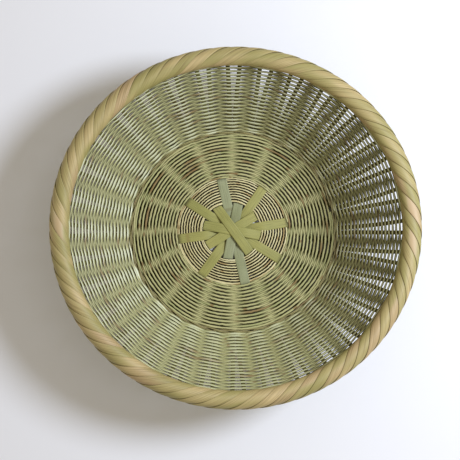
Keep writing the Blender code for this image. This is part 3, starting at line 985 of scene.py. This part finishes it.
@dataclass(frozen=True)
class TwinedRing:
    """The ring at the edge of the base: two pairs of strands, twisted round every rib.

    A strand swings up and down, shifts in and out, and is shaded where it lies under the other.
    """

    name: str = "twined_ring"
    strand: float = 0.00135
    swing: float = 0.00098
    shift: float = 0.00055
    rows: tuple[float, float] = (-0.00085, 0.00085)
    lengths: int = 8
    shade: float = 0.8
    map_width: float = 0.004

    # How far apart the maps of its pairs and of their strands start
    NEXT_ROW = 3.1
    NEXT_STRAND = 1.7

    def place(self, offset: float, turn: float, length: Array, round_: Array) -> Array:
        """Lays a strand round the basket.

        Args:
            offset: how far its pair lies from the middle of the ring.
            turn: how far round in its twist it starts.
            length: the shares of its length.
            round_: the shares of its outline.

        Returns:
            The points, one to a row, with how openly each lies to light.
        """
        angle = FIRST_STRIP_ANGLE + 2 * math.pi * length
        phase = RIB_PAIRS / 2 * (angle - FIRST_STRIP_ANGLE) + turn
        across, through = Section.ROUND.at(round_)
        along = BASE_RING_RADIUS + offset + self.shift * np.sin(phase)
        half = self.strand / 2
        height = self.swing * np.cos(phase) + through * half
        point = PROFILE.lay(angle, along + across * half, height)
        # The share by which a strand lies under the other, where its openness to light is lowered
        # for painted shade
        under_shade = np.clip(-np.cos(phase) * np.sign(through), 0, 1)
        return np.column_stack([point, np.abs(through) * (1 - self.shade * under_shade)])

    def build(self) -> None:
        """Makes the ring and hands it over."""
        bm = bmesh.new()
        steps, round_ = RIB_PAIRS * self.lengths, 2 * math.pi * BASE_RING_RADIUS
        for row, offset in enumerate(self.rows):
            for strand in range(2):
                lay = partial(self.place, offset, math.pi * (strand + row / 2))
                start = self.NEXT_ROW * row + self.NEXT_STRAND * strand
                scale = (start, round_, self.map_width)
                bent_grid(bm, steps, len(Section.ROUND.value), lay, scale)
        bmesh.ops.remove_doubles(bm, verts=bm.verts, dist=WELD_DISTANCE)
        hand_over(self.name, bm, RING_WEFT, "base_ring")


@dataclass(frozen=True)
class SplitStrip:
    """A strip of the star with both its arms, or an added rib, which has one.

    Attributes:
        name: the piece's name.
        node: the solid that it replaces.
        finish: its look, whose name is also the material slot.
        pile_place: its place in the star's pile from the bottom up, or None for an added rib.
        pair: the number of its first arm among the rib pairs.
        crown: how much its face is arched.
        widths: how many faces it has across, the slit's included.
        step: how long a face is.
        edge: the width of its broken edges.
    """

    name: str
    node: str
    finish: Bamboo
    pile_place: int | None
    pair: int
    crown: float = 0.00012
    widths: int = 9
    step: float = 0.0016
    edge: float = 0.00013

    # The step at which its middle line is worked out, how its bends are eased, how far apart the
    # strips' maps start, and from what angle an edge is broken
    LINE_STEP = 0.0005
    SIDE_EASE = 0.002
    PILE_EASE = 0.0016
    NEXT_PAIR = 1.37
    EDGE_ANGLE = math.radians(50)

    def arm_angle(self, pair: int, along: Array) -> Array:
        """The angle of the arm on this rib pair, at these distances along the profile."""
        stray = 0 if self.pile_place is None else ARMS.strays[pair // 2 % STAR_ARMS]
        return PAIRS.angle(pair, along) + stray * ARMS.share(along)

    def height(self, along: Array) -> Array:
        """How high over the weave's middle the strip lies, for the star's pile.

        Args:
            along: the distances along the profile.

        Returns:
            The heights there.
        """
        if self.pile_place is None:
            return np.zeros_like(along)
        pile = PILE_STEP * (self.pile_place - (PILE - 1) / 2)
        stops = (PILE_EDGE, PARTING, CENTRE_WEAVE_INNER_RADIUS)
        return np.interp(along, stops, (pile, math.copysign(PILE_STEP / 2, pile), 0))

    def middle_line(self) -> tuple[Array, Array, Array]:
        """The strip's middle line seen from above, before the basket is drawn in to an oval.

        Returns:
            The distances from the middle of the base, negative on the second arm, the points in
            plan, and the directions across the strip.
        """
        start = -STRIP_REACH if self.pile_place is not None else RING_INNER_RADIUS
        stations = np.arange(start, STRIP_REACH + self.step / 2, self.LINE_STEP)
        along = np.abs(stations)
        other = self.pair + RIB_PAIRS // 2
        first, second = self.arm_angle(self.pair, along), self.arm_angle(other, along)
        angle = np.where(stations >= 0, first, second)
        radius = PROFILE.radius_at(along)
        plan = np.stack([radius * np.cos(angle), radius * np.sin(angle)], axis=-1)
        if self.pile_place is not None:
            inner = along < CENTRE_WEAVE_INNER_RADIUS
            for axis in range(2):
                line = plan[~inner, axis]
                plan[inner, axis] = np.interp(stations[inner], stations[~inner], line)
        heading = np.gradient(plan, axis=0)
        heading /= np.linalg.norm(heading, axis=1)[:, None]
        side = np.stack([-heading[:, 1], heading[:, 0]], axis=-1)
        eased = [blurred(side[:, axis], self.LINE_STEP, self.SIDE_EASE) for axis in range(2)]
        return stations, plan, np.stack(eased, axis=-1)

    def place(self, line: tuple[Array, Array, Array], length: Array, width: Array) -> Array:
        """Lays the strip on the basket.

        Args:
            line: its middle line.
            length: the shares of its length.
            width: the shares of its width.

        Returns:
            The points, one to a row.
        """
        stations, plan, side = line
        station = stations[0] + (stations[-1] - stations[0]) * length
        along = np.abs(station)
        column = np.round(width * self.widths)
        left = column < self.widths / 2
        halves = (self.widths - 1) / 2
        local = np.where(left, column, column - halves - 1) / halves * 2 - 1
        offset, half = rib_widths(along)
        aside = np.where(left, -offset, offset) + local * half
        spread = aside / (offset + half)
        arch = self.crown * (1 - np.where(along < FOOT, spread, local) ** 2)
        x, y = (
            np.interp(station, stations, plan[:, axis])
            + np.interp(station, stations, side[:, axis]) * aside
            for axis in range(2)
        )
        pile = blurred(self.height(np.abs(stations)), self.LINE_STEP, self.PILE_EASE)
        height = np.interp(station, stations, pile) + arch
        return PROFILE.lay(np.arctan2(y, x), along, height, np.hypot(x, y))

    def build(self) -> None:
        """Makes the strip as a sheet with slits, and gives it its thickness."""
        line = self.middle_line()
        start, reach = line[0][0], line[0][-1] - line[0][0]
        bm = bmesh.new()
        scale = (self.NEXT_PAIR * self.pair, reach, STRIP_WIDTH)
        lay = partial(self.place, line)
        shares = bent_grid(bm, int(reach / self.step), self.widths, lay, scale)
        middle = {self.widths // 2, self.widths // 2 + 1}
        slit = []
        for face in bm.faces:
            spots = np.array([shares[vert] for vert in face.verts])
            centre = abs(start + reach * spots[:, 0].mean())
            columns = set(np.round(spots[:, 1] * self.widths))
            if columns == middle and centre > FOOT + WALL_WEAVE_START:
                slit.append(face)
        bmesh.ops.delete(bm, geom=slit, context="FACES")
        piece = hand_over(self.name, bm, self.finish, self.node)
        solid = piece.modifiers.new("thickness", "SOLIDIFY")
        solid.thickness = STRIP_THICKNESS
        solid.offset = 0
        bevel = piece.modifiers.new("edges", "BEVEL")
        bevel.width = self.edge
        bevel.segments = 1
        bevel.limit_method = "ANGLE"
        bevel.angle_limit = self.EDGE_ANGLE


@dataclass(frozen=True)
class RimWrap:
    """The flat strip wound round the rim in five passes that lie beside each other.

    Attributes:
        name: the piece's name.
        overlap: how far a turn slips under the next, at the inside of the rim.
        tilt: how much deeper one of its edges lies than its middle.
        crown: how much its face is arched.
        lengths: how many faces a turn has.
        pinch: the share of its width that is left where it passes through the wall.
        pinch_reach: how far from there it is as wide again as it was, in turns.
        first_turn: where it starts, in turns.
        end_gap: how far its end stays from its start, in turns.
    """

    name: str = "wound_strip"
    overlap: float = 0.0003
    tilt: float = 0.00032
    crown: float = 0.00022
    lengths: int = 48
    pinch: float = 0.5
    pinch_reach: float = 0.09
    first_turn: float = 0.1
    end_gap: float = 0.012

    def place(self, length: Array, round_: Array) -> Array:
        """Lays the strip on the rim.

        Args:
            length: the shares of its length.
            round_: the shares of its outline.

        Returns:
            The points, one to a row.
        """
        turns = self.first_turn + (WRAP_LOOPS - self.end_gap) * length
        around = TOP_SLOPE + math.pi + 2 * math.pi * turns
        along = FIRST_STRIP_ANGLE + 2 * math.pi * WRAP_PASSES / WRAP_LOOPS * turns
        inner = RIM_RADIUS - RIM_THICKNESS / 2
        half = (2 * math.pi / WRAP_LOOPS + self.overlap / inner) / 2
        near = np.abs(turns - np.round(turns)) / self.pinch_reach
        half = half * (self.pinch + (1 - self.pinch) * smooth_step(near))
        across, through = Section.WRAP.at(round_)
        reach = WRAP_CENTRE_RADIUS - self.crown - self.tilt * (1 + across)
        reach = reach + through * WRAP_THICKNESS / 2 + self.crown * (1 - across**2)
        radius = RIM_RADIUS + reach * np.cos(around)
        level = RIM_LEVEL + reach * np.sin(around)
        return about_axis(radius, along + across * half, level)

    def build(self) -> None:
        """Makes the strip and hands it over."""
        bm = bmesh.new()
        scale = (0.0, WRAP_LOOPS * 2 * math.pi * WRAP_CENTRE_RADIUS, WRAP_MAP_WIDTH)
        bent_grid(bm, WRAP_LOOPS * self.lengths, len(Section.WRAP.value), self.place, scale)
        close_strand(bm)
        hand_over(self.name, bm, RIM_WRAP, "rim_wrap")


@dataclass(frozen=True)
class HoopFinish:
    """The plain split bamboo of the hoops and the filler under the wrap.

    Its patches and grains are counted to a metre, level and upright.
    """

    name: str = "hoop"
    main: Colour = (0.30, 0.23, 0.10)
    dark: Colour = (0.14, 0.09, 0.035)
    patches: tuple[float, float] = (30.0, 400.0)
    grains: tuple[float, float] = (120.0, 2500.0)
    depth: float = 0.0001

    def material(self) -> bpy.types.Material:
        """Builds the material.

        Returns:
            The material.
        """
        sheet = NodeSheet(self.name)
        x, y, z = sheet.spot()
        flat, up = self.patches
        patch = sheet.noise(x * flat, y * flat, z * up)
        flat, up = self.grains
        grain = sheet.noise(x * flat, y * flat, z * up, 3.0)
        colour = sheet.mix(patch.ramp(0.4, 0.65), self.main, self.dark)
        inputs = {"Base Color": colour, "Roughness": grain * 0.2 + 0.5}
        return sheet.finish(inputs, grain, self.depth)


@dataclass(frozen=True)
class Studio:
    """The pale floor, the soft light and the camera, in metres, radians and watts.

    The light's angle is counted from +X. The focal length and the frame are in pixels of the
    photograph, and the camera's sensor is in millimetres.
    """

    floor_size: float = 6.0
    floor_colour: Colour = (0.80, 0.80, 0.80)
    floor_dark_share: float = 0.99
    floor_clouds: float = 40.0
    floor_depth: float = 0.00002
    light_angle: float = math.radians(14)
    light_rise: float = math.radians(52)
    light_distance: float = 1.0
    light_size: float = 0.30
    light_colour: Colour = (0.92, 1.0, 1.2)
    light_power: float = 8.9
    sky_colour: Colour = (1.0, 0.92, 0.80)
    sky_power: float = 0.50
    eye: tuple[float, float, float] = (-0.031, -0.053, 0.974)
    target: tuple[float, float, float] = (-0.00296, 0.00157, 0.0)
    focal_pixels: float = 1120.0
    frame_pixels: float = 460.0
    sensor: float = 36.0
    near: float = 0.01

    def build_floor(self) -> None:
        """Lays the floor."""
        bm = bmesh.new()
        bmesh.ops.create_grid(bm, x_segments=2, y_segments=2, size=self.floor_size / 2)
        sheet = NodeSheet("floor")
        spot = sheet.node("ShaderNodeTexCoord", {}, {}, "Object")
        inputs = {"Vector": spot, "Scale": self.floor_clouds}
        cloud = sheet.node("ShaderNodeTexNoise", {}, inputs)
        dark = tuple(part * self.floor_dark_share for part in self.floor_colour)
        shade = sheet.mix(cloud, dark, self.floor_colour)
        finish = sheet.finish({"Base Color": shade, "Roughness": 0.8}, cloud, self.floor_depth)
        floor = new_piece("floor", bm, finish)

    def build_light(self) -> None:
        """Hangs the light and sets the sky."""
        lamp = bpy.data.lights.new("key", "AREA")
        lamp.shape = "DISK"
        lamp.size = self.light_size
        lamp.energy = self.light_power
        lamp.color = self.light_colour
        light = bpy.data.objects.new("key", lamp)
        bpy.context.scene.collection.objects.link(light)
        flat, rise = math.cos(self.light_rise), math.sin(self.light_rise)
        towards = Vector(
            (flat * math.cos(self.light_angle), flat * math.sin(self.light_angle), rise)
        )
        light.location = towards * self.light_distance
        light.rotation_euler = towards.to_track_quat("Z", "Y").to_euler()
        world = bpy.data.worlds.new("sky")
        world.use_nodes = True
        back = world.node_tree.nodes["Background"]
        back.inputs["Color"].default_value = (*self.sky_colour, 1)
        back.inputs["Strength"].default_value = self.sky_power
        bpy.context.scene.world = world
        bpy.context.scene.view_settings.view_transform = "Standard"

    def build_camera(self) -> None:
        """Sets up the camera over the basket."""
        lens = bpy.data.cameras.new("camera")
        lens.sensor_width = self.sensor
        lens.lens = self.focal_pixels / self.frame_pixels * self.sensor
        lens.clip_start = self.near
        camera = bpy.data.objects.new("camera", lens)
        bpy.context.scene.collection.objects.link(camera)
        eye, target = Vector(self.eye), Vector(self.target)
        camera.location = eye
        back = (eye - target).normalized()
        right = Vector((0, 1, 0)).cross(back).normalized()
        camera.rotation_euler = Matrix((right, back.cross(right), back)).transposed().to_euler()
        bpy.context.scene.camera = camera


def strip_list() -> list[SplitStrip]:
    """The eight strips of the star and the sixteen added ribs.

    Returns:
        The strips, in the order in which they are made.
    """
    strips = []
    for i in range(STAR_ARMS // 4):
        for length, grey, pile, pair in (
            ("long", 2, i, 4 * i),
            ("short", 1, SHORT_PLACES[i], 4 * i + 2),
        ):
            finish = GREY_GREEN if i == grey else OLIVE
            name, node = f"star_{length}_{i + 1}", f"{length}_strip_{i + 1}"
            strips.append(SplitStrip(name, node, finish, pile, pair))
    for i in range(STAR_ARMS):
        name, node = f"rib_{i + 1:02d}", f"added_rib_{i + 1:02d}"
        strips.append(SplitStrip(name, node, RIB, None, 2 * i + 1))
    return strips


def weft_list() -> list[WeftZone]:
    """The three zones of weft, from the middle outward.

    Returns:
        The zones, in the order in which they are made.
    """
    centre = WeftZone(
        "weft_centre", "centre_weave", CREAM_WEFT, ARMS, strands=1, rounds=10,
        reach=(CENTRE_WEAVE_INNER_RADIUS, CENTRE_WEAVE_OUTER_RADIUS), margins=(0.0006, 0.0009),
        width=0.0023, thickness=0.0012, crossing=0.0023, dive=0.0028, fuller=0.0, shade_under_ribs=0.0,
        calm=1.0, section=Section.PEAKED, closeness=Closeness(),
    )
    base = WeftZone(
        "weft_base", "base_weave", BASE_WEFT, ARMS, strands=2, rounds=27,
        reach=(CENTRE_WEAVE_OUTER_RADIUS, RING_INNER_RADIUS), margins=(0.0004, 0.0006),
        width=0.0019, thickness=0.0012, crossing=0.0016, dive=0.0075, fuller=0.0, shade_under_ribs=0.95,
        calm=0.85, section=Section.STRAND, closeness=Closeness(front=0.22, back=0.14),
    )
    wall = WeftZone(
        "weft_wall", "wall_weave", WALL_WEFT, PAIRS, strands=2, rounds=39,
        reach=(FOOT, FOOT + WALL_WEAVE_END), margins=(0.0002, 0.001),
        width=0.0020, thickness=0.0011, crossing=0.0021, dive=None, fuller=0.48, shade_under_ribs=0.85,
        calm=0.64, section=Section.FLAT,
        closeness=Closeness(front=0.2, back=-0.06, right=-0.25),
    )
    return [centre, base, wall]


def write_sizes() -> None:
    """Updates the view layer once all the pieces are built."""
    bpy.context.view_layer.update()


def main() -> None:
    """Builds the basket's pieces in order, and then the studio."""
    logging.basicConfig(level=logging.INFO, format="%(message)s")
    for zone in weft_list():
        zone.build()
    TwinedRing().build()
    for strip in strip_list():
        strip.build()
    RimWrap().build()
    hoop = HoopFinish().material()
    for node in ("rim_inner_hoop", "rim_outer_hoop", "rim_filler"):
        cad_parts[node].data.materials.clear()
        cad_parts[node].data.materials.append(hoop)
        logging.info("%s: shown as its solid", node)
    studio = Studio()
    studio.build_floor()
    studio.build_light()
    studio.build_camera()
    write_sizes()


if __name__ == "__main__":
    main()
